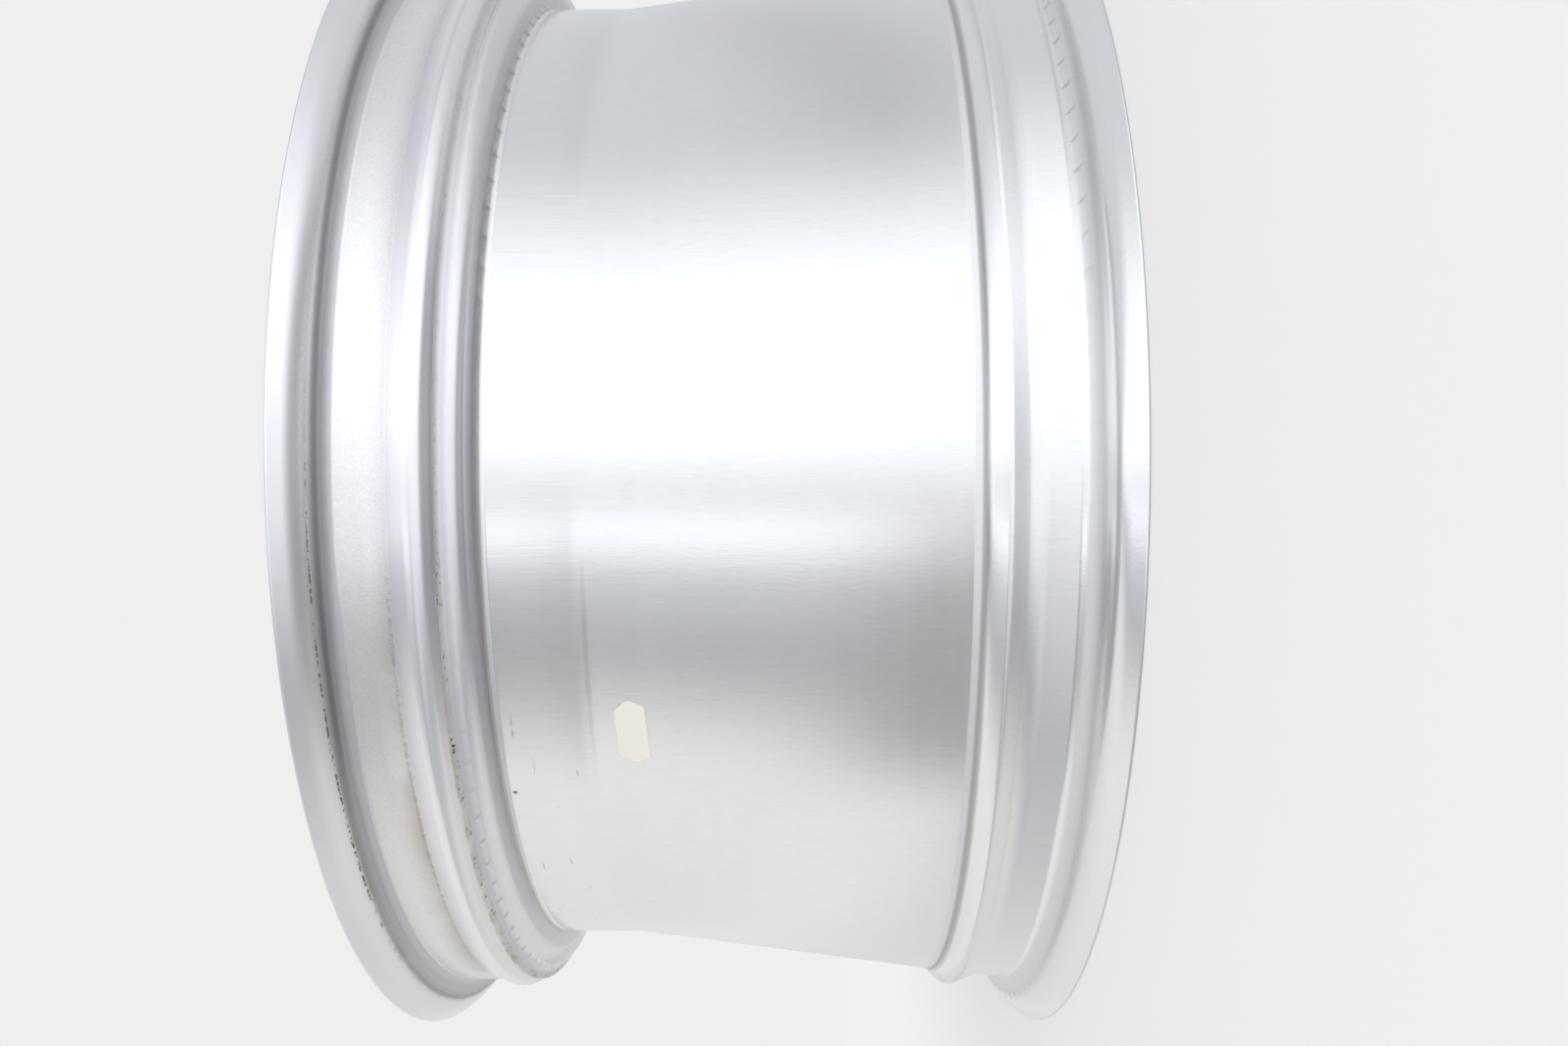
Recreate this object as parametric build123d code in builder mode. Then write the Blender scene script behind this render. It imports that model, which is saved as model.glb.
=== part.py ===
from build123d import *
import os
from math import asin, cos, degrees, radians, sin, tan

# Wheel rim for a car, 19 inch by 9 1/2 J, lying on its inboard flange.
# Millimetres. +Z is the wheel's axis and points outboard. The origin is on the axis,
# half way between the two flanges. The drop well lies near the outboard bead seat.

# Tyre side of the rim, the usual J contour
seat_diameter = 487.4
rim_width = 241.3
seat_angle = 5.0
flange_height = 17.3
flange_lip = 10.65
flange_gauge_height = 4.2
flange_wall_lean = 14.0
flange_curve_radius = 18.0
flange_curve_share = 0.98
flange_root_radius = 4.0
crown_lean = 38.0
crown_radius = 0.6

# Humps that hold the tyre's beads on their seats
hump_inset = 27.7
hump_height = 3.6
hump_seat_side_angle = 22.0
hump_well_side_angle = 46.5
hump_radius = 4.0
hump_toe_radius = 20.0
hump_root_radius = 2.0

# Drop well, its shoulder, and the barrel that widens from it to the inboard hump
shoulder_drop = 3.9
shoulder_inset = 37.7
shoulder_radius = 2.6
well_depth = 20.0
well_wall_angle = 14.7
well_corner_radius = 3.0
well_floor_width = 33.9
barrel_end_drop = 3.5
barrel_blend_radius = 60.0

# Wall of the rim, from the tyre side inwards
barrel_wall = 5.2
seat_wall = 6.8
well_wall = 6.5
flange_land = 12.0
inner_corner_radius = 2.0
inner_blend_radius = 8.0

# Disc: hub, five spokes and the ring that carries their ends
face_offset = 40.0
hub_thickness = 47.0
pad_radius = 77.0
pad_height = 12.0
pad_draft = 4.0
hub_face_radius = 84.0
lip_face_depth = 13.6
ring_recess = 6.8
ring_reach = 6.0
ring_overlap = 7.0
disc_edge_thickness = 37.8
disc_back_slope = 0.03
spoke_count = 5
spoke_hub_width = 56.0
spoke_rim_width = 42.0
window_inner_radius = 97.0
window_inner_corner = 14.0
window_outer_corner = 26.0
window_draft = 3.0
front_edge_radius = 4.0
back_edge_radius = 2.0

# Lightening pockets, behind each spoke and in the mounting pad
pocket_skin = 12.0
pocket_wall = 9.5
pocket_start_radius = 104.0
pocket_end_radius = 206.0
pocket_corner = 8.0
pocket_draft = 2.0
pad_pocket_depth = 13.0
pad_pocket_width = 22.0
pad_pocket_inner_radius = 44.0
pad_pocket_outer_radius = 69.0
pad_pocket_corner = 6.0

# Hub holes: centre bore, cap recess and five bolt holes with cone seats
bore_radius = 33.3
bore_chamfer = 1.5
cap_radius = 37.5
cap_depth = 16.0
bolt_count = 5
bolt_circle = 112.0
bolt_hole_radius = 7.5
bolt_seat_height = 13.0
bolt_seat_radius = 12.0
bolt_seat_angle = 60
bolt_pocket_radius = 14.5

# Valve hole, through the outboard wall of the drop well, at the middle of a window
valve_hole_radius = 5.7
valve_tilt = 30.0
valve_height = 7.7
valve_spot_radius = 8.5
valve_wall = 5.5
valve_pocket_depth = 18.0

# Paper label stuck on the barrel just inboard of the drop well
label_length = 25.6
label_width = 11.2
label_tip = 2.7
label_thickness = 0.12
label_height = 30.3
label_angle = -110.6
label_lean = 3.5
label_tear = 3.0

# Radii and heights worked out from the sizes above
seat_radius = seat_diameter / 2
lip_radius = seat_radius + flange_height
wall_height = rim_width / 2
lip_height = wall_height + flange_lip
foot_height = wall_height - flange_gauge_height * tan(radians(flange_wall_lean))
crown_turn = tan(radians(45 + crown_lean / 2))
crown_corner_radius = lip_radius + crown_radius * (crown_turn - 1)
hump_apex_radius = seat_radius + hump_height
hump_apex_height = wall_height - hump_inset
shoulder_ring_radius = seat_radius - shoulder_drop
shoulder_height = wall_height - shoulder_inset
well_radius = seat_radius - well_depth
well_wall_run = (shoulder_ring_radius - well_radius) * tan(radians(well_wall_angle))
well_height = shoulder_height - well_wall_run
barrel_start_height = well_height - well_floor_width
barrel_end_radius = seat_radius - barrel_end_drop


def hump_side_run(radius):
    """Distance along the axis from a hump's apex down its well side to the given radius."""
    return (hump_apex_radius - radius) / tan(radians(hump_well_side_angle))


def flange_knee():
    """Radius, height and rounding of the corner between the flange's crown and its wall.

    The rounding takes at most the named share of the shorter side beside the corner.
    """
    wall_slope = tan(radians(flange_wall_lean))
    crown_slope = tan(radians(crown_lean))
    wall_rise = (crown_corner_radius - seat_radius - flange_gauge_height) * wall_slope
    drop = (flange_lip - wall_rise) / (1 - crown_slope * wall_slope)
    radius = crown_corner_radius - drop * crown_slope
    crown_run = drop / cos(radians(crown_lean)) - crown_radius * crown_turn
    root_turn = tan(radians((90 - flange_wall_lean - seat_angle) / 2))
    wall_run = (radius - seat_radius) / cos(radians(flange_wall_lean)) - flange_root_radius * root_turn
    knee_turn = tan(radians((90 - crown_lean - flange_wall_lean) / 2))
    longest = flange_curve_share * min(crown_run, wall_run) / knee_turn
    return radius, lip_height - drop, min(flange_curve_radius, longest)


def seat_toe():
    """Inset and radius of the corner where a bead seat meets the hump's seat side."""
    seat_slope = tan(radians(seat_angle))
    hump_slope = tan(radians(hump_seat_side_angle))
    run = (hump_height + seat_slope * hump_inset) / (hump_slope + seat_slope)
    return hump_inset - run, hump_apex_radius - run * hump_slope


knee_radius, knee_height, knee_rounding = flange_knee()
toe_inset, toe_radius = seat_toe()
toe_height = wall_height - toe_inset
shoulder_root_height = hump_apex_height - hump_side_run(shoulder_ring_radius)
barrel_end_height = -(hump_apex_height - hump_side_run(barrel_end_radius))

# Corners of the tyre side, each as radius, height and rounding, from outboard to inboard
tyre_side = [
    (crown_corner_radius, lip_height, crown_radius),
    (knee_radius, knee_height, knee_rounding),
    (seat_radius, foot_height, flange_root_radius),
    (toe_radius, toe_height, hump_toe_radius),
    (hump_apex_radius, hump_apex_height, hump_radius),
    (shoulder_ring_radius, shoulder_root_height, hump_root_radius),
    (shoulder_ring_radius, shoulder_height, shoulder_radius),
    (well_radius, well_height, well_corner_radius),
    (well_radius, barrel_start_height, barrel_blend_radius),
    (barrel_end_radius, barrel_end_height, hump_root_radius),
    (hump_apex_radius, -hump_apex_height, hump_radius),
    (toe_radius, -toe_height, hump_toe_radius),
    (seat_radius, -foot_height, flange_root_radius),
    (knee_radius, -knee_height, knee_rounding),
    (crown_corner_radius, -lip_height, crown_radius),
]

# Corners of the inner side, from inboard back to outboard
land_radius = lip_radius - flange_land
seat_inner_radius = seat_radius - seat_wall
land_depth = land_radius - seat_inner_radius
barrel_inner_end = barrel_end_radius - barrel_wall
well_inner_radius = well_radius - barrel_wall
well_back_height = well_height + well_wall
ring_outer_radius = seat_inner_radius + ring_overlap
ring_inner_radius = seat_inner_radius - ring_reach
ring_front_height = lip_height - ring_recess
inner_side = [
    (land_radius, -lip_height, inner_corner_radius),
    (seat_inner_radius, -lip_height + land_depth, inner_blend_radius),
    (barrel_inner_end, barrel_end_height, inner_blend_radius),
    (well_inner_radius, barrel_start_height, barrel_blend_radius),
    (well_inner_radius, well_back_height, inner_corner_radius),
    (seat_inner_radius, well_back_height + well_wall_run, 0),
    (seat_inner_radius, lip_height - lip_face_depth, 0),
    (land_radius, lip_height, inner_corner_radius),
]

# Heights of the hub and of the disc's front and back
hub_front_height = face_offset + hub_thickness
pad_back_height = face_offset + pad_height
disc_back_height = ring_front_height - disc_edge_thickness
spoke_step = 360 / spoke_count
half_step = spoke_step / 2
valve_angle = half_step + spoke_step


def front_arc(drop=0.0):
    """Front of the spokes, flat where it leaves the hub and rising to the ring."""
    start = (hub_face_radius, hub_front_height - drop)
    end = (ring_outer_radius, ring_front_height - drop)
    return TangentArc(start, end, tangent=(1, 0))


def polar(radius, angle):
    return radius * cos(radians(angle)), radius * sin(radians(angle))


def drafted(height):
    """How far a drafted wall has moved in from its size at the ring's front."""
    return (ring_front_height - height) * tan(radians(window_draft))


def window_outline(height):
    """One window between two spokes, cut at a height, with its middle on the X axis."""
    draft = drafted(height)
    inner_radius = window_inner_radius + draft
    outer_radius = ring_inner_radius - draft
    inner_turn = asin((spoke_hub_width / 2 + draft) / inner_radius)
    outer_turn = asin((spoke_rim_width / 2 + draft) / outer_radius)
    inner = polar(inner_radius, half_step - degrees(inner_turn))
    outer = polar(outer_radius, half_step - degrees(outer_turn))
    with BuildSketch(Plane.XY.offset(height)) as outline:
        with BuildLine():
            Line((inner[0], -inner[1]), (outer[0], -outer[1]))
            ThreePointArc((outer[0], -outer[1]), (outer_radius, 0), outer)
            Line(outer, inner)
            ThreePointArc(inner, (inner_radius, 0), (inner[0], -inner[1]))
        make_face()
        fillet(outline.vertices().group_by(Axis.X)[0], window_inner_corner - draft)
        fillet(outline.vertices().group_by(Axis.X)[-1], window_outer_corner - draft)
    return outline.sketch


def pocket_outline(height):
    """Pocket behind one spoke, cut at a height, with the spoke along the X axis."""
    draft = (height - face_offset) * tan(radians(pocket_draft))
    start_y = spoke_hub_width / 2 - pocket_wall - draft
    end_y = spoke_rim_width / 2 - pocket_wall - draft
    with BuildSketch(Plane.XY.offset(height)) as outline:
        with BuildLine():
            Polyline(
                (pocket_start_radius + draft, -start_y),
                (pocket_end_radius - draft, -end_y),
                (pocket_end_radius - draft, end_y),
                (pocket_start_radius + draft, start_y),
                close=True,
            )
        make_face()
        fillet(outline.vertices(), pocket_corner - draft)
    return outline.sketch


# One window's space, drafted so that the spokes are widest at their backs
with BuildPart() as window_space:
    add(window_outline(ring_front_height + front_edge_radius))
    add(window_outline(face_offset))
    loft()

# One pocket behind a spoke, whose floor follows the spoke's front
with BuildPart() as pocket_space:
    add(pocket_outline(face_offset))
    add(pocket_outline(ring_front_height))
    loft()
    with BuildSketch(Plane.XZ):
        with BuildLine():
            front = front_arc(pocket_skin)
            Polyline(
                front @ 1,
                (ring_outer_radius, 0),
                (hub_face_radius, 0),
                front @ 0,
            )
        make_face()
    revolve(axis=Axis.Z, mode=Mode.INTERSECT)

# Casting: disc first, then its windows and pockets, then the rim around it, then the holes
with BuildPart() as wheel_casting:
    with BuildSketch(Plane.XZ):
        with BuildLine():
            front = front_arc()
            Polyline(
                front @ 0,
                (cap_radius, hub_front_height),
                (cap_radius, hub_front_height - cap_depth),
                (bore_radius, hub_front_height - cap_depth),
                (bore_radius, face_offset + bore_chamfer),
                (bore_radius + bore_chamfer, face_offset),
                (pad_radius, face_offset),
                (pad_radius + pad_draft, pad_back_height),
            )
            back = TangentArc(
                (pad_radius + pad_draft, pad_back_height),
                (ring_outer_radius, disc_back_height),
                tangent=(1, disc_back_slope),
            )
            Line(back @ 1, front @ 1)
        make_face()
    revolve(axis=Axis.Z)
    with PolarLocations(0, spoke_count, start_angle=half_step):
        add(window_space.part, mode=Mode.SUBTRACT)
    windowed = wheel_casting.faces().filter_by(lambda f: len(f.inner_wires()) == spoke_count)
    for side, radius in ((-1, front_edge_radius), (0, back_edge_radius)):
        face = windowed.sort_by(Axis.Z)[side]
        fillet([edge for wire in face.inner_wires() for edge in wire.edges()], radius)
    with PolarLocations(0, spoke_count):
        add(pocket_space.part, mode=Mode.SUBTRACT)

    # Rim, turned as one section
    with BuildSketch(Plane.XZ):
        with BuildLine():
            corners = tyre_side + inner_side
            FilletPolyline(
                *[(radius, height) for radius, height, rounding in corners],
                radius=[rounding for radius, height, rounding in corners],
                close=True,
            )
        make_face()
    revolve(axis=Axis.Z)

    # Five bolt holes, each with a pocket for the bolt's head and a cone for its seat
    seat_height = face_offset + bolt_seat_height
    with BuildSketch(Plane.XY.offset(hub_front_height)):
        with PolarLocations(bolt_circle / 2, bolt_count):
            Circle(bolt_pocket_radius)
    extrude(amount=seat_height - hub_front_height, mode=Mode.SUBTRACT)
    with Locations(Plane.XY.offset(seat_height)):
        with PolarLocations(bolt_circle / 2, bolt_count):
            CounterSinkHole(bolt_hole_radius, bolt_seat_radius, counter_sink_angle=bolt_seat_angle)

    # Pockets in the mounting pad, between the bolt holes
    with BuildSketch(Plane.XY.offset(face_offset)):
        with PolarLocations(0, bolt_count, start_angle=180 / bolt_count):
            pocket_middle = (pad_pocket_inner_radius + pad_pocket_outer_radius) / 2
            pocket_length = pad_pocket_outer_radius - pad_pocket_inner_radius
            with Locations((pocket_middle, 0)):
                RectangleRounded(pocket_length, pad_pocket_width, pad_pocket_corner)
    extrude(amount=pad_pocket_depth, mode=Mode.SUBTRACT)

    # Valve hole, leaning in towards the axis, with a flat spot at each end and a pocket in front
    mouth_radius = well_radius + valve_height
    mouth_height = well_height + valve_height * tan(radians(well_wall_angle))
    valve_way = (*polar(-sin(radians(valve_tilt)), valve_angle), cos(radians(valve_tilt)))
    valve_mouth = (*polar(mouth_radius, valve_angle), mouth_height)
    valve_plane = Plane(origin=valve_mouth, z_dir=valve_way)
    with BuildSketch(valve_plane):
        Circle(valve_hole_radius)
    extrude(amount=2 * valve_wall, mode=Mode.SUBTRACT)
    with BuildSketch(valve_plane):
        Circle(valve_spot_radius)
    extrude(amount=-valve_wall, mode=Mode.SUBTRACT)
    with BuildSketch(valve_plane.offset(valve_wall)):
        Circle(valve_spot_radius)
    extrude(amount=valve_pocket_depth, mode=Mode.SUBTRACT)

wheel_casting.part.label = "wheel_casting"

# Label: a six-sided piece of the barrel's own cone, with one corner torn off
with BuildPart() as barrel_label:
    with BuildSketch(Plane.XZ):
        with BuildLine():
            Polyline(
                (well_radius, barrel_start_height),
                (barrel_end_radius, barrel_end_height),
                (barrel_end_radius + label_thickness, barrel_end_height),
                (well_radius + label_thickness, barrel_start_height),
                close=True,
            )
        make_face()
    revolve(axis=Axis.Z)
    label_plane = Plane(
        origin=(*polar(well_radius / 2, label_angle), label_height),
        x_dir=(0, 0, 1),
        z_dir=(*polar(1, label_angle), 0),
    ).rotated((0, 0, label_lean))
    with BuildSketch(label_plane):
        with BuildLine():
            half_length = label_length / 2
            half_width = label_width / 2
            side_end = half_length - label_tip
            torn_end = half_length - label_tip * (1 - label_tear / half_width)
            Polyline(
                (-half_width, side_end),
                (0, half_length),
                (half_width, side_end),
                (half_width, label_tear - side_end),
                (half_width - label_tear, -torn_end),
                (0, -half_length),
                (-half_width, -side_end),
                close=True,
            )
        make_face()
    extrude(amount=well_radius, mode=Mode.INTERSECT)

barrel_label.part.label = "barrel_label"

os.makedirs("parts", exist_ok=True)
for piece in (wheel_casting, barrel_label):
    export_step(piece.part, f"parts/{piece.part.label}.step")
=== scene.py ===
import bpy
from math import cos, radians, sin, tan
from types import SimpleNamespace
from mathutils import Matrix, Vector, noise


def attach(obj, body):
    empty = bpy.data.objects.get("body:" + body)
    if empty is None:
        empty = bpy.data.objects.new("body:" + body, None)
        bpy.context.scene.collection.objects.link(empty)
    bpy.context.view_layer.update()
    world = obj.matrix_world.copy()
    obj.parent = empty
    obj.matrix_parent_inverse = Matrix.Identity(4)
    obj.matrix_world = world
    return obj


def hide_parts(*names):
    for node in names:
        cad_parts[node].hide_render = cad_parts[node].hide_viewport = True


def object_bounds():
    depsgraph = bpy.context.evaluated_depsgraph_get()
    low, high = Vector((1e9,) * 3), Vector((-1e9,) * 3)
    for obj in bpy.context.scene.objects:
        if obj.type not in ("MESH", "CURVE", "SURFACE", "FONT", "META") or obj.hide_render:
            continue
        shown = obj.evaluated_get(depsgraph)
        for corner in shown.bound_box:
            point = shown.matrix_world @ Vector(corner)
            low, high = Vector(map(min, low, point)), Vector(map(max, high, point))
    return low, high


# A bare car wheel rim of cast and flow-formed aluminium, and the paper label on its barrel.
# Metres, in the frame of the CAD: +Z is the axis and points outboard, and the rim lies on
# its inboard flange. The camera is turned a quarter, so that the axis lies level in the picture
# and +X points to the picture's top.

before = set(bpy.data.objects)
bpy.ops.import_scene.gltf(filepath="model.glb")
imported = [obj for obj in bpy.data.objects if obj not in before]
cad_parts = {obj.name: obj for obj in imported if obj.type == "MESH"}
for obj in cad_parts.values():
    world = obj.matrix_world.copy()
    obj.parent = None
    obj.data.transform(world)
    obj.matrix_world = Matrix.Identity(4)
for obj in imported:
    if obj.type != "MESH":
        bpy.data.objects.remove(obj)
cad_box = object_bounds()
MM = 0.001


# Small helpers that keep the node trees short

def feed(tree, socket, value):
    """Links a socket to another one, or sets it to a number, colour or vector."""
    if isinstance(value, bpy.types.NodeSocket):
        tree.links.new(value, socket)
    else:
        socket.default_value = value


def node(tree, kind, values=None, **settings):
    made = tree.nodes.new("ShaderNode" + kind)
    for name, value in settings.items():
        setattr(made, name, value)
    for name, value in (values or {}).items():
        feed(tree, made.inputs[name], value)
    return made


def calc(tree, operation, *values, clamp=False):
    made = node(tree, "Math", dict(enumerate(values)), operation=operation, use_clamp=clamp)
    return made.outputs[0]


def times(tree, *factors):
    product = factors[0]
    for factor in factors[1:]:
        product = calc(tree, "MULTIPLY", product, factor)
    return product


def most(tree, *values):
    """The largest of the values."""
    largest = values[0]
    for value in values[1:]:
        largest = calc(tree, "MAXIMUM", largest, value)
    return largest


def step_up(tree, value, low, high):
    """0 below low, 1 above high, and smooth between them. Low and high may be swapped."""
    made = node(
        tree, "MapRange", {"Value": value, "From Min": low, "From Max": high},
        interpolation_type="SMOOTHSTEP",
    )
    return made.outputs["Result"]


def band(tree, value, low, high, soft):
    """1 between low and high, fading out over soft on both sides."""
    up = step_up(tree, value, low - soft, low + soft)
    down = step_up(tree, value, high + soft, high - soft)
    return times(tree, up, down)


def near(tree, value, centre, half, soft):
    """1 within half of the centre, fading to 0 over soft beyond it."""
    far = calc(tree, "ABSOLUTE", calc(tree, "SUBTRACT", value, centre))
    return step_up(tree, far, half + soft, half)


def stretched(tree, vector, scale):
    made = node(tree, "VectorMath", {0: vector, 1: scale}, operation="MULTIPLY")
    return made.outputs[0]


def speckle(tree, vector, scale, detail=2.0, roughness=0.5):
    made = node(
        tree, "TexNoise",
        {"Vector": vector, "Scale": scale, "Detail": detail, "Roughness": roughness},
    )
    return made.outputs["Fac"]


def blend(tree, amount, first, second):
    """Colour mix from first to second."""
    made = node(tree, "Mix", data_type="RGBA")
    feed(tree, made.inputs[0], amount)
    feed(tree, made.inputs[6], first)
    feed(tree, made.inputs[7], second)
    return made.outputs[2]


def shade(tree, amount, first, second):
    """Number mix from first to second."""
    made = node(tree, "Mix", data_type="FLOAT")
    feed(tree, made.inputs[0], amount)
    feed(tree, made.inputs[2], first)
    feed(tree, made.inputs[3], second)
    return made.outputs[0]


def new_material(name):
    material = bpy.data.materials.new(name)
    material.use_nodes = True
    tree = material.node_tree
    tree.nodes.clear()
    surface = node(tree, "BsdfPrincipled")
    output = node(tree, "OutputMaterial", {"Surface": surface.outputs[0]})
    return material, tree, surface, output


def add_bump(tree, surface, height, normal=None):
    """Relief from a height in metres."""
    bump = node(tree, "Bump", {"Height": height, "Strength": 1.0, "Distance": 1.0})
    if normal is not None:
        feed(tree, bump.inputs["Normal"], normal)
    feed(tree, surface.inputs["Normal"], bump.outputs[0])


def add_object(name, mesh):
    made = bpy.data.objects.new(name, mesh)
    bpy.context.scene.collection.objects.link(made)
    return made


def grey(value, warm=0.0):
    return (value * (1 + warm), value, value * (1 - warm), 1)


# Alloy of the casting: machined barrel under clear lacquer, silver paint on the rest

DARK_LINE = (0.012, 0.011, 0.010, 1)
OLIVE = (0.20, 0.18, 0.135, 1)
BROWN = (0.38, 0.31, 0.26, 1)
CRUMB = (0.045, 0.035, 0.02, 1)
SEAT_STAIN_AND_SHADE = (0.50, 0.46, 0.42, 1)
SEAT_EDGE_DIRT = (0.30, 0.26, 0.20, 1)
CREAM_DEPOSIT = (0.58, 0.53, 0.43, 1)
FOOT_DIRT = (0.20, 0.14, 0.10, 1)
DRIP_DIRT = (0.30, 0.25, 0.19, 1)
PAINT_DARK = (0.775, 0.767, 0.79, 1)
PAINT_LIGHT = (0.825, 0.817, 0.84, 1)

# Heights and radii on the tyre side, in millimetres
STEP_HEIGHT = 45.0
WALL_FOOT = 78.7
WALL_TOP = 83.0
SHOULDER_HOLLOW = 84.8
HUMP_ROOT = 86.4
BARREL_END = -84.0
SEAT_START = 101.5
SEAT_END = 117.6
FLANGE_HOLLOW = 119.4
LIP_SIDE = 131.0
INNER_SIDE_RADIUS = 220.0
DARK_BAND_RADIUS = 249.5
OLIVE_RADIUS = 251.3
LINE_RADIUS = 252.7

# One dark drop at the foot of the wall, low on the front
DROP = (-0.1047, -0.1977, 0.0744)
DROP_RADIUS = 1.0 * MM
DROP_EDGE = 1.5 * MM

# Corners of the tyre side from the outboard lip to the barrel, as radius, height and rounding in
# millimetres. They are the CAD's, but the humps, the shoulder and the well's foot are rounder, as
# they shade in the photograph. The first and last points only give a direction.
SHADED_CORNERS = [
    (200.0, 131.3, 0.0), (261.63, 131.3, 0.6), (254.62, 122.33, 18.0), (243.7, 119.6, 4.0),
    (242.35, 105.2, 20.0), (247.3, 92.3, 5.5), (239.8, 85.83, 2.0), (239.8, 80.95, 4.1),
    (223.7, 78.0, 3.1), (223.7, 44.83, 60.0), (240.2, -86.2, 0.0),
]

# From the barrel's end to the inboard lip: a height, and the normal's part along the axis there
INBOARD_SLOPES = [
    (-85.3, 0.125), (-86.6, 0.70), (-87.2, 0.70), (-88.6, 0.50), (-92.4, 0.20), (-94.0, -0.42),
    (-98.6, -0.43), (-105.5, 0.093), (-115.0, 0.093), (-121.4, 0.97), (-121.6, 0.97),
    (-127.2, 0.616), (-130.3, 0.616), (-131.3, -1.0),
]


def corner_slopes(corners):
    """A height and the normal's part along the axis, where each rounding starts and ends."""
    slopes = []
    for before, (radius, height, rounding), after in zip(corners, corners[1:], corners[2:]):
        corner = Vector((radius, height))
        arriving = (corner - Vector(before[:2])).normalized()
        leaving = (Vector(after[:2]) - corner).normalized()
        reach = rounding * tan(arriving.angle(leaving) / 2)
        slopes.append((height - arriving.y * reach, arriving.x))
        slopes.append((height + leaving.y * reach, leaving.x))
    return slopes


def turned_slope(tree, z):
    """The normal's part along the axis: steady on a cone, and linear in height on a rounding."""
    slopes = corner_slopes(SHADED_CORNERS) + INBOARD_SLOPES
    total = slopes[0][1]
    for (start, before), (end, after) in zip(slopes, slopes[1:]):
        if after == before:
            continue
        ramp = node(
            tree, "MapRange",
            {"Value": z, "From Min": start, "From Max": end, "To Min": 0.0, "To Max": after - before},
        )
        total = calc(tree, "ADD", ramp.outputs["Result"], total)
    return total


def turned_normal(tree, z, outward):
    """The tyre side is turned, so its normal follows from the height alone."""
    slope = turned_slope(tree, z)
    rest = calc(tree, "SUBTRACT", 1.0, times(tree, slope, slope), clamp=True)
    level = calc(tree, "SQRT", rest)
    upward = node(tree, "CombineXYZ", {2: slope}).outputs[0]
    sideways = node(tree, "VectorMath", {0: outward, 3: level}, operation="SCALE").outputs[0]
    return node(tree, "VectorMath", {0: upward, 1: sideways}, operation="ADD").outputs[0]


def find_places(tree):
    """Positions on the casting, and its zones as numbers from 0 to 1."""
    at = SimpleNamespace()
    at.where = node(tree, "TexCoord").outputs["Object"]
    at.x, y, z_metres = node(tree, "SeparateXYZ", {0: at.where}).outputs
    at.z = calc(tree, "MULTIPLY", z_metres, 1 / MM)
    at.height_size = calc(tree, "ABSOLUTE", at.z)
    squares = calc(tree, "ADD", times(tree, at.x, at.x), times(tree, y, y))
    at.radius = calc(tree, "MULTIPLY", calc(tree, "SQRT", squares), 1 / MM)

    # 1 on the tyre side, 0 on the inner side, the disc and the hub
    at.normal = node(tree, "NewGeometry").outputs["Normal"]
    axis_free = stretched(tree, at.where, (1, 1, 0))
    outward = node(tree, "VectorMath", {0: axis_free}, operation="NORMALIZE").outputs[0]
    facing = node(tree, "VectorMath", {0: at.normal, 1: outward}, operation="DOT_PRODUCT")
    outside = step_up(tree, at.radius, INNER_SIDE_RADIUS, INNER_SIDE_RADIUS + 2.0)
    at.outer = times(tree, step_up(tree, facing.outputs["Value"], 0.0, 0.12), outside)
    at.turned_way = turned_normal(tree, at.z, outward)

    # Zones of the tyre side, by height
    at.barrel = times(tree, at.outer, step_up(tree, at.z, WALL_FOOT + 0.5, WALL_FOOT - 0.5))
    at.seat = times(tree, at.outer, band(tree, at.z, SEAT_START, SEAT_END, 0.4))
    at.wall = times(tree, at.outer, band(tree, at.z, WALL_FOOT + 0.2, WALL_TOP, 0.5))
    at.flange = times(tree, at.outer, step_up(tree, at.height_size, SEAT_END - 0.1, SEAT_END + 1.4))
    at.outboard = step_up(tree, at.z, 60.0, 70.0)

    # Places from the picture's middle down to its bottom
    at.below = step_up(tree, at.x, -0.008, -0.038)
    at.lowest = step_up(tree, at.x, -0.06, -0.11)
    at.foot_fade = shade(tree, step_up(tree, at.x, -0.12, -0.19), 1.0, 0.12)
    at.film_end = step_up(tree, at.x, -0.105, -0.065)
    return at


def find_grain(tree, where):
    """Noises: grain along the axis, turning marks round it, orange peel, and slow blotches."""
    grain = SimpleNamespace()
    grain.axial = speckle(tree, stretched(tree, where, (1, 1, 0.05)), 1500, 3.0, 0.65)
    grain.axial_coarse = speckle(tree, stretched(tree, where, (1, 1, 0.07)), 500, 2.0, 0.5)
    grain.turned = speckle(tree, stretched(tree, where, (0.01, 0.01, 1)), 900, 3.0, 0.7)
    grain.turned_wide = speckle(tree, stretched(tree, where, (0.06, 0.06, 1)), 90, 2.0, 0.6)
    grain.peel = speckle(tree, where, 1150, 2.0, 0.55)
    grain.blotch = speckle(tree, where, 26, 4.0, 0.6)
    grain.blotch_fine = speckle(tree, where, 160, 3.0, 0.6)
    grain.beads = speckle(tree, stretched(tree, where, (1, 1, 0.6)), 620, 2.0, 0.65)
    grain.runs = speckle(tree, stretched(tree, where, (1, 1, 0.3)), 95, 3.0, 0.6)
    grain.streaks = speckle(tree, stretched(tree, where, (0.08, 0.08, 1)), 420, 3.0, 0.6)
    grain.chance = calc(tree, "ADD", grain.beads, times(tree, grain.runs, 0.5))
    return grain


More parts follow.
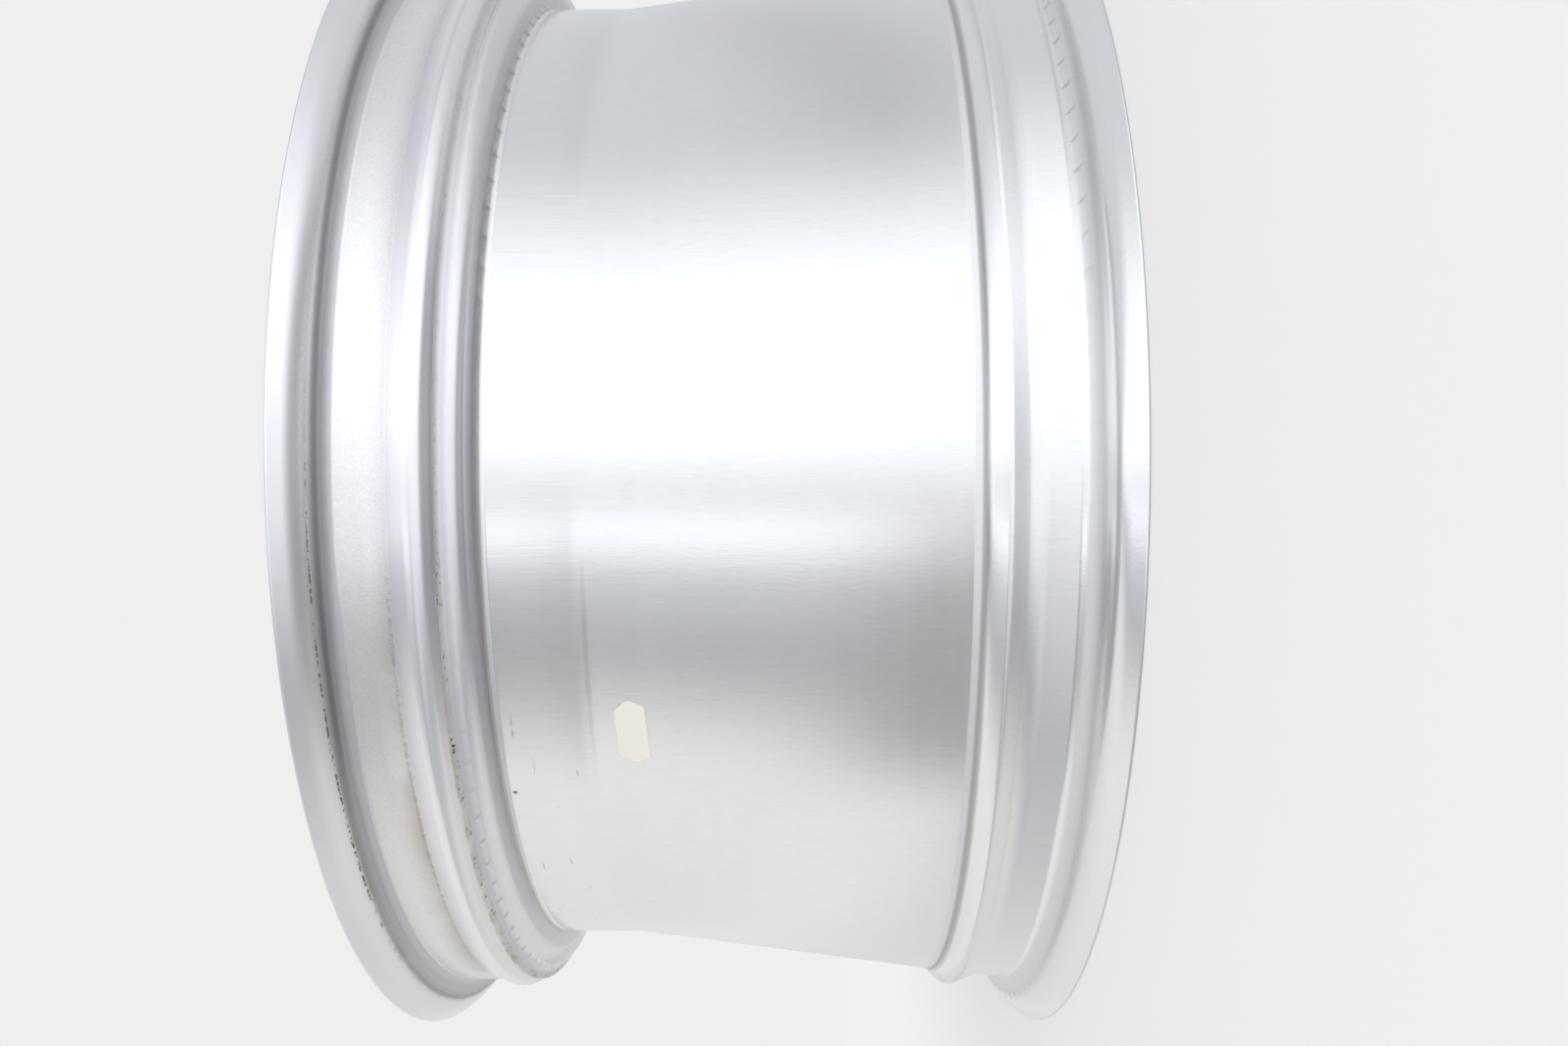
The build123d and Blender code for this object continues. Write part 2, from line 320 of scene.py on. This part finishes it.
def add_clean_colours_and_wall_shade(tree, at, grain):
    """Paint, machined barrel, grey orange peel on the seats, and painted shade on the well's wall,
    strongest on the upper half and towards the wall's foot.
    """
    paint = blend(tree, grain.blotch, PAINT_DARK, PAINT_LIGHT)
    machined = blend(tree, grain.turned_wide, grey(0.80, -0.006), grey(0.85, -0.006))
    machined = blend(tree, times(tree, grain.axial, 0.50), machined, grey(0.66, -0.006))
    colour = blend(tree, at.barrel, paint, machined)
    peel_tone = blend(tree, grain.peel, grey(0.72), grey(0.92))
    colour = blend(tree, at.seat, colour, peel_tone)
    # Painted shade: the well's wall is coloured darker grey, much more on the upper half than on the
    # lower.
    upper_wall_shade = shade(tree, step_up(tree, at.z, 82.5, WALL_FOOT), 0.28, 0.42)
    wall_shade = shade(tree, at.below, upper_wall_shade, 0.05)
    return blend(tree, times(tree, at.wall, wall_shade), colour, grey(0.42, -0.03))


def add_film(tree, at, grain, colour):
    """Brown film on the well's floor beside its wall, ending at the machining step."""
    above_step = step_up(tree, at.z, STEP_HEIGHT - 1.5, STEP_HEIGHT + 1.5)
    below_wall = step_up(tree, at.z, WALL_FOOT + 0.7, WALL_FOOT - 0.3)
    patchy = shade(tree, grain.blotch, 0.25, 0.95)
    film = times(tree, at.outer, above_step, below_wall, at.below, at.film_end, patchy)
    near_wall = shade(tree, step_up(tree, at.z, 62.0, 78.0), 0.30, 0.55)
    colour = blend(tree, times(tree, film, near_wall, 0.45), colour, BROWN)
    step_line = near(tree, at.z, STEP_HEIGHT - 0.6, 0.3, 1.1)
    edge_line = times(tree, at.outer, step_line, at.below, at.film_end)
    strength = shade(tree, grain.runs, 0.08, 0.38)
    return blend(tree, times(tree, edge_line, strength), colour, BROWN), film


def add_seat_stains_and_shade(tree, at, grain, colour):
    """Stains on the seats, strongest beside the hump, and darker on the lower side, where the extra
    stain and the brownish tint are partly painted shade.
    """
    place = times(tree, at.seat, step_up(tree, at.z, 112.0, 101.0))
    # The stains are stronger on the lower side, partly as painted shade.
    strength = shade(tree, at.below, 0.08, 0.52)
    stain = times(tree, place, step_up(tree, grain.blotch, 0.30, 0.70), strength)
    colour = blend(tree, stain, colour, BROWN)
    # Partly stain and partly painted shade: a brownish tint darkens the lower seat.
    colour = blend(tree, times(tree, at.seat, at.below, 0.20), colour, SEAT_STAIN_AND_SHADE)
    edge = times(tree, at.outer, near(tree, at.z, SEAT_START + 0.4, 0.25, 0.9), at.outboard)
    edge = times(tree, edge, shade(tree, at.below, 0.0, 0.35))
    edge = times(tree, edge, step_up(tree, grain.beads, 0.42, 0.6), at.foot_fade)
    return blend(tree, edge, colour, SEAT_EDGE_DIRT)


def add_flange_marks_and_shade(tree, at, grain, colour):
    """Darker flange wall, partly dirt and partly painted shade; a dark band round the flange; painted
    shade on the lip's edge; olive dirt and a dotted dark line where the tyre's bead ended on the
    flange.
    """
    # Partly dirt and partly painted shade: the flange's wall from its root up to about radius 251 mm is
    # darkened.
    start_shift = shade(tree, at.below, 0.7, at.lowest)
    flange_wall_height = calc(tree, "SUBTRACT", at.height_size, start_shift)
    flange_wall_dirt_and_shade = times(
        tree, at.outer,
        step_up(tree, flange_wall_height, SEAT_END - 0.8, SEAT_END),
        step_up(tree, at.radius, 254.5, 251.0),
    )
    strength = shade(tree, at.outboard, 0.10, shade(tree, at.lowest, 0.31, 0.25))
    colour = blend(tree, times(tree, flange_wall_dirt_and_shade, strength), colour, grey(0.12, -0.04))

    # A dark band round the flange at radius 249.5 mm, weaker towards the bottom.
    dark_band_radius = calc(tree, "SUBTRACT", at.radius, at.lowest)
    dark_band = times(tree, at.flange, near(tree, dark_band_radius, DARK_BAND_RADIUS, 0.4, 2.1))
    high_strength = shade(tree, grain.runs, 0.44, 0.64)
    low_strength = shade(tree, grain.runs, 0.22, 0.36)
    strength = shade(tree, at.lowest, high_strength, low_strength)
    strength = shade(tree, at.outboard, 0.10, strength)
    colour = blend(tree, times(tree, dark_band, strength), colour, grey(0.10, -0.04))

    # Painted shade: the lip's outer edge is darkened.
    lip_edge_shade = times(tree, at.outer, step_up(tree, at.height_size, LIP_SIDE - 0.3, LIP_SIDE))
    colour = blend(tree, times(tree, lip_edge_shade, 0.45), colour, grey(0.30, -0.02))

    lower_half = shade(tree, step_up(tree, at.x, 0.05, -0.03), 0.05, 1.0)
    dirty_side = times(tree, at.outboard, lower_half)
    olive = times(
        tree, at.flange, near(tree, at.radius, OLIVE_RADIUS, 0.5, 0.7), dirty_side,
        shade(tree, grain.runs, 0.10, 0.60),
    )
    colour = blend(tree, olive, colour, OLIVE)
    line = times(tree, at.flange, near(tree, at.radius, LINE_RADIUS, 0.15, 0.4), dirty_side)
    line = times(tree, line, step_up(tree, grain.chance, 0.72, 0.80), at.foot_fade)
    colour = blend(tree, times(tree, line, 0.85), colour, DARK_LINE)
    return colour, most(tree, olive, line)


def add_root_dirt_and_shade(tree, at, grain, colour):
    """Dirt, a cream deposit and dark crumbs in the hump's roots, and painted shade in the roots of both
    humps.
    """
    root = times(tree, at.outer, near(tree, at.z, HUMP_ROOT - 0.2, 0.25, 0.8))
    root = times(tree, root, shade(tree, grain.runs, 0.05, 0.60), shade(tree, at.below, 0.45, 0.8))
    colour = blend(tree, root, colour, OLIVE)
    deposit = times(tree, at.outer, near(tree, at.z, HUMP_ROOT + 0.3, 0.4, 0.7), at.below)
    deposit = times(tree, deposit, step_up(tree, grain.runs, 0.30, 0.65))
    colour = blend(tree, times(tree, deposit, 0.55), colour, CREAM_DEPOSIT)
    # Painted shade in the outboard hump's root, stronger on the upper half.
    root_shade = times(tree, at.outer, near(tree, at.z, HUMP_ROOT + 0.4, 0.5, 1.3))
    root_shade = times(tree, root_shade, shade(tree, at.below, 0.26, 0.05))
    colour = blend(tree, root_shade, colour, grey(0.20))
    crumbs = times(tree, at.outer, near(tree, at.z, HUMP_ROOT, 0.2, 0.6))
    crumbs = times(tree, crumbs, step_up(tree, grain.chance, 0.86, 0.92))
    crumbs = times(tree, crumbs, shade(tree, at.below, 0.2, 1.0))
    colour = blend(tree, crumbs, colour, CRUMB)
    # Painted shade in the inboard hump's root.
    inboard_root_shade = times(tree, at.outer, near(tree, at.z, -HUMP_ROOT, 0.4, 1.3))
    colour = blend(tree, times(tree, inboard_root_shade, 0.55), colour, grey(0.16))
    return colour, most(tree, root, crumbs, times(tree, deposit, 0.5)), crumbs


def add_drips(tree, at, grain, colour):
    """Thin line of dirt at the foot of the well's wall, drips, dots, and the dark drop."""
    foot = times(tree, at.outer, near(tree, at.z, WALL_FOOT - 0.9, 0.1, 0.7))
    foot = times(tree, foot, shade(tree, grain.runs, 0.3, 0.8))
    colour = blend(tree, times(tree, foot, 0.7), colour, FOOT_DIRT)

    place = times(tree, at.outer, band(tree, at.z, 46.0, 77.0, 2.0), step_up(tree, at.x, -0.06, -0.085))
    drips = times(tree, place, step_up(tree, grain.streaks, 0.62, 0.72))
    drips = times(tree, drips, step_up(tree, grain.blotch_fine, 0.5, 0.62))
    colour = blend(tree, times(tree, drips, 0.6), colour, DRIP_DIRT)

    cells = node(tree, "TexVoronoi", {"Vector": at.where, "Scale": 60}, feature="F1")
    dot = times(tree, step_up(tree, cells.outputs["Distance"], 0.045, 0.02), at.barrel)
    dot = times(tree, dot, step_up(tree, at.z, BARREL_END, BARREL_END + 4.0))
    dot = times(tree, dot, step_up(tree, grain.blotch, 0.56, 0.60))
    colour = blend(tree, times(tree, dot, 0.8), colour, CRUMB)

    away = node(tree, "VectorMath", {0: at.where, 1: DROP}, operation="DISTANCE").outputs["Value"]
    ragged = calc(tree, "ADD", away, times(tree, grain.beads, 0.8 * MM))
    drop = times(tree, at.outer, step_up(tree, ragged, DROP_EDGE, DROP_RADIUS))
    colour = blend(tree, times(tree, drop, 0.7), colour, CRUMB)
    return colour, most(tree, times(tree, foot, 0.5), drop)


def find_roughness(tree, at, grain, film, dirt):
    rough = shade(tree, at.barrel, 0.26, shade(tree, grain.turned_wide, 0.16, 0.21))
    rough = shade(tree, at.seat, rough, 0.36)
    rough = calc(tree, "ADD", rough, times(tree, film, 0.06))
    rough = shade(tree, dirt, rough, 0.75)
    # Matt in the hollows, where a sharp reflection would show the mesh's joints
    hollow = most(
        tree,
        near(tree, at.height_size, SHOULDER_HOLLOW, 1.4, 0.8),
        near(tree, at.height_size, FLANGE_HOLLOW, 1.2, 1.4),
        near(tree, at.z, WALL_FOOT - 0.1, 1.4, 1.0),
    )
    return shade(tree, times(tree, at.outer, hollow), rough, 0.5)


def find_relief(tree, at, grain, crumbs):
    """Height of the fine relief, in metres."""
    fine = calc(tree, "ADD", times(tree, grain.axial, 1.7e-5), times(tree, grain.axial_coarse, 1.4e-5))
    fine = calc(tree, "ADD", fine, times(tree, grain.turned, 1.5e-6))
    smooth_peel = calc(tree, "ADD", times(tree, grain.peel, 4e-6), times(tree, grain.axial, 3e-6))
    height = shade(tree, at.barrel, smooth_peel, fine)
    height = shade(tree, at.seat, height, times(tree, grain.peel, 4.5e-5))
    return calc(tree, "ADD", height, times(tree, crumbs, 0.15 * MM))


def find_normal(tree, at):
    """The turned normal on the tyre side, and the mesh's own one elsewhere."""
    mixed = node(tree, "Mix", data_type="VECTOR")
    feed(tree, mixed.inputs[0], at.outer)
    feed(tree, mixed.inputs[4], at.normal)
    feed(tree, mixed.inputs[5], at.turned_way)
    return node(tree, "VectorMath", {0: mixed.outputs[1]}, operation="NORMALIZE").outputs[0]


def make_alloy():
    material, tree, surface, _ = new_material("alloy")
    at = find_places(tree)
    grain = find_grain(tree, at.where)

    colour = add_clean_colours_and_wall_shade(tree, at, grain)
    colour, film = add_film(tree, at, grain, colour)
    colour = add_seat_stains_and_shade(tree, at, grain, colour)
    colour, flange_dirt = add_flange_marks_and_shade(tree, at, grain, colour)
    colour, root_dirt, crumbs = add_root_dirt_and_shade(tree, at, grain, colour)
    colour, drip_dirt = add_drips(tree, at, grain, colour)
    dirt = most(tree, flange_dirt, root_dirt, drip_dirt)

    feed(tree, surface.inputs["Base Color"], colour)
    feed(tree, surface.inputs["Roughness"], find_roughness(tree, at, grain, film, dirt))
    feed(tree, surface.inputs["Metallic"], shade(tree, dirt, 1.0, 0.1))
    surface.inputs["Coat Weight"].default_value = 0.2
    surface.inputs["Coat Roughness"].default_value = 0.08
    add_bump(tree, surface, find_relief(tree, at, grain, crumbs), find_normal(tree, at))
    return material


def dress_wheel():
    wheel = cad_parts["wheel_casting"]
    wheel.data.materials.clear()
    wheel.data.materials.append(make_alloy())


dress_wheel()


# Label: thin ivory paper that follows the barrel's cone

LABEL_LENGTH = 25.6 * MM
LABEL_WIDTH = 11.2 * MM
LABEL_TIP = 2.7 * MM
LABEL_LEAN = radians(3.5)
LABEL_HEIGHT = 30.3 * MM
LABEL_ANGLE = radians(-110.6)
LABEL_THICKNESS = 0.09 * MM
LABEL_ROWS, LABEL_COLUMNS = 64, 28
TIP_SHARE = 0.06
CORNER_LIFT = 0.55 * MM
LOWEST_LIFT = 0.03 * MM
CONE_RADIUS = 223.7 * MM
CONE_HEIGHT = 44.8 * MM
CONE_SLOPE = (240.2 - 223.7) / (44.8 + 86.3)


def make_paper():
    material, tree, surface, _ = new_material("paper")
    where = node(tree, "TexCoord").outputs["Object"]
    fibre = speckle(tree, where, 2600, 4.0, 0.7)
    cloud = speckle(tree, where, 260, 3.0, 0.6)
    colour = blend(tree, cloud, (0.88, 0.85, 0.76, 1), (0.95, 0.92, 0.85, 1))
    colour = blend(tree, times(tree, fibre, 0.25), colour, (0.70, 0.69, 0.62, 1))
    feed(tree, surface.inputs["Base Color"], colour)
    surface.inputs["Roughness"].default_value = 0.72
    surface.inputs["Specular IOR Level"].default_value = 0.3
    add_bump(tree, surface, calc(tree, "ADD", times(tree, fibre, 1.5e-5), times(tree, cloud, 8e-5)))
    return material


def label_point(along, side):
    """A point of the paper, from its place along the label and its side from -1 to 1."""
    half_length, half_width = LABEL_LENGTH / 2, LABEL_WIDTH / 2
    reach = min(1.0, TIP_SHARE + (half_length - abs(along)) / LABEL_TIP)
    across = side * half_width * reach
    # The corner at the outboard end of the upper tip is torn off, with a ragged edge
    corner = (across / half_width) + (-along / half_length) * 2.3 - 2.45
    ragged = 0.10 * noise.noise(Vector((along * 2600, across * 2600, 0.3)))
    across -= max(0.0, corner + ragged) * half_width * 0.75
    lift = 0.05 * MM
    lift += CORNER_LIFT * max(0.0, corner + 0.42) ** 2
    lift += 0.02 * MM * noise.noise(Vector((along * 420, across * 420, 1.7)))
    # Across the label is nearly along the wheel's axis, and its length runs round the wheel
    z = LABEL_HEIGHT + across * cos(LABEL_LEAN) - along * sin(LABEL_LEAN)
    round_way = across * sin(LABEL_LEAN) + along * cos(LABEL_LEAN)
    radius = CONE_RADIUS + (CONE_HEIGHT - z) * CONE_SLOPE + max(lift, LOWEST_LIFT)
    angle = LABEL_ANGLE - round_way / radius
    return (radius * cos(angle), radius * sin(angle), z)


def make_label():
    verts, faces = [], []
    for i in range(LABEL_ROWS + 1):
        along = -LABEL_LENGTH / 2 + LABEL_LENGTH * i / LABEL_ROWS
        for j in range(LABEL_COLUMNS + 1):
            verts.append(label_point(along, 2 * j / LABEL_COLUMNS - 1))
    for i in range(LABEL_ROWS):
        for j in range(LABEL_COLUMNS):
            a = i * (LABEL_COLUMNS + 1) + j
            faces.append((a, a + LABEL_COLUMNS + 1, a + LABEL_COLUMNS + 2, a + 1))
    mesh = bpy.data.meshes.new("label_paper")
    mesh.from_pydata(verts, [], faces)
    mesh.polygons.foreach_set("use_smooth", [True] * len(mesh.polygons))
    mesh.update()
    mesh.materials.append(make_paper())
    label = add_object("label_paper", mesh)
    thick = label.modifiers.new("thickness", "SOLIDIFY")
    thick.thickness = LABEL_THICKNESS
    thick.offset = 1.0
    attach(label, "root")
    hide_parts("barrel_label")


make_label()


# Floor and sky, which is the only light beside the floor's faint glow

BACKDROP = 0.86
FLOOR_SIZE = 12.0
SKY_STRENGTH = 2.0


def make_floor():
    mesh = bpy.data.meshes.new("floor")
    low = cad_box[0].z
    corners = [(-1, -1), (1, -1), (1, 1), (-1, 1)]
    mesh.from_pydata([(FLOOR_SIZE * a, FLOOR_SIZE * b, low) for a, b in corners], [], [(0, 1, 2, 3)])
    floor = add_object("floor", mesh)
    material, tree, surface, output = new_material("floor_matt")
    where = node(tree, "TexCoord").outputs["Object"]
    cloud = speckle(tree, where, 3.0, 2.0, 0.5)
    feed(tree, surface.inputs["Base Color"], blend(tree, cloud, grey(0.90, 0.02), grey(0.92, 0.02)))
    surface.inputs["Roughness"].default_value = 0.9
    surface.inputs["Emission Color"].default_value = grey(1.0)
    surface.inputs["Emission Strength"].default_value = 0.06
    # Far away the floor turns into the backdrop's even grey
    level = stretched(tree, where, (1, 1, 0))
    far = node(tree, "VectorMath", {0: level}, operation="LENGTH").outputs["Value"]
    glow = node(tree, "Emission", {"Color": grey(BACKDROP, 0.004), "Strength": 1.0})
    parts = {0: step_up(tree, far, 0.6, 3.0), 1: surface.outputs[0], 2: glow.outputs[0]}
    feed(tree, output.inputs["Surface"], node(tree, "MixShader", parts).outputs[0])
    mesh.materials.append(material)
    floor.visible_glossy = False


# Angle round the axis from the camera's side towards the picture's top, and brightness there:
# high up (towards the disc), level, a little below, well below, and straight down
HIGH_SKY = [
    (-180, 0.76), (-65, 0.97), (-36, 0.57), (-22, 0.72), (-9, 1.46), (-3, 1.0), (14, 1.5), (30, 1.5),
    (84, 0.80), (180, 0.76),
]
LEVEL_SKY = [
    (-180, 0.78), (-86, 0.99), (-75, 0.99), (-50, 0.40), (-25, 0.40), (21, 1.5), (31, 1.5),
    (84, 0.62), (180, 0.76),
]
SHALLOW_SKY = [(-180, 0.72), (-120, 0.80), (-58, 0.62), (38, 1.5), (98, 0.78), (180, 0.74)]
DEEP_SKY = [(-180, 0.72), (-90, 0.84), (-45, 0.52), (0, 1.22), (36, 1.5), (105, 0.76), (180, 0.70)]
LOW_SKY = [(-180, 0.47), (-93, 0.46), (-42, 0.38), (0, 0.50), (180, 0.47)]


def sky_ramp(tree, place, table, cool_from=-15):
    """One layer of the sky. From the given angle on it is cool, and a little magenta above -60."""
    ramp = node(tree, "ValToRGB", {"Fac": place})
    stops = ramp.color_ramp
    stops.interpolation = "EASE"
    last = len(table) - 1
    for index, (angle, value) in enumerate(table):
        spot = (angle + 180) / 360
        stop = stops.elements[-1] if index == last else stops.elements[0]
        if 0 < index < last:
            stop = stops.elements.new(spot)
        stop.position = spot
        warm = -0.035 if angle > cool_from else 0.012
        green = 0.988 if angle > -60 else 1.0
        red, middle, blue, alpha = grey(value / SKY_STRENGTH, warm)
        stop.color = (red, middle * green, blue, alpha)
    return ramp.outputs["Color"]


def make_sky():
    world = bpy.data.worlds.new("studio")
    bpy.context.scene.world = world
    world.use_nodes = True
    tree = world.node_tree
    tree.nodes.clear()
    way = node(tree, "TexCoord").outputs["Generated"]
    x, y, z = node(tree, "SeparateXYZ", {0: way}).outputs
    turn = calc(tree, "ARCTAN2", x, calc(tree, "MULTIPLY", y, -1.0))
    place = calc(tree, "ADD", calc(tree, "DIVIDE", turn, radians(360)), 0.5)
    high = sky_ramp(tree, place, HIGH_SKY, -37)
    level = sky_ramp(tree, place, LEVEL_SKY)
    shallow = sky_ramp(tree, place, SHALLOW_SKY, -62)
    deep = sky_ramp(tree, place, DEEP_SKY, -62)
    low = sky_ramp(tree, place, LOW_SKY, -62)
    light = blend(tree, step_up(tree, z, 0.07, 0.22), level, high)
    light = blend(tree, step_up(tree, z, 0.08, -0.06), light, shallow)
    light = blend(tree, step_up(tree, z, -0.20, -0.55), light, deep)
    light = blend(tree, step_up(tree, z, -0.78, -0.93), light, low)
    seen = node(tree, "LightPath").outputs["Is Camera Ray"]
    colour = blend(tree, seen, light, grey(BACKDROP / SKY_STRENGTH, 0.004))
    back = node(tree, "Background", {"Color": colour, "Strength": SKY_STRENGTH})
    node(tree, "OutputWorld", {"Surface": back.outputs[0]})


make_floor()
make_sky()


# Camera of the photograph

SENSOR_WIDTH = 36.0
PICTURE_WIDTH = 1600
FOCAL_LENGTH_PIXELS = 1164.7
CAMERA_PLACE = (0.02466, -0.59807, -0.02388)
CAMERA_AHEAD = (-0.08169, 0.99665, 0.00319)
CAMERA_RIGHT = (-0.0052, 0.00278, -0.99998)


def make_camera():
    data = bpy.data.cameras.new("camera")
    data.sensor_fit = "HORIZONTAL"
    data.sensor_width = SENSOR_WIDTH
    data.lens = SENSOR_WIDTH * FOCAL_LENGTH_PIXELS / PICTURE_WIDTH
    data.clip_start = 0.01
    data.clip_end = 50
    ahead = Vector(CAMERA_AHEAD).normalized()
    right = Vector(CAMERA_RIGHT)
    right = (right - ahead * right.dot(ahead)).normalized()
    up = right.cross(ahead)
    turn = Matrix((right, up, -ahead)).transposed().to_4x4()
    camera = add_object("camera", data)
    camera.matrix_world = Matrix.Translation(CAMERA_PLACE) @ turn
    bpy.context.scene.camera = camera


make_camera()
bpy.context.scene.view_settings.view_transform = "Standard"
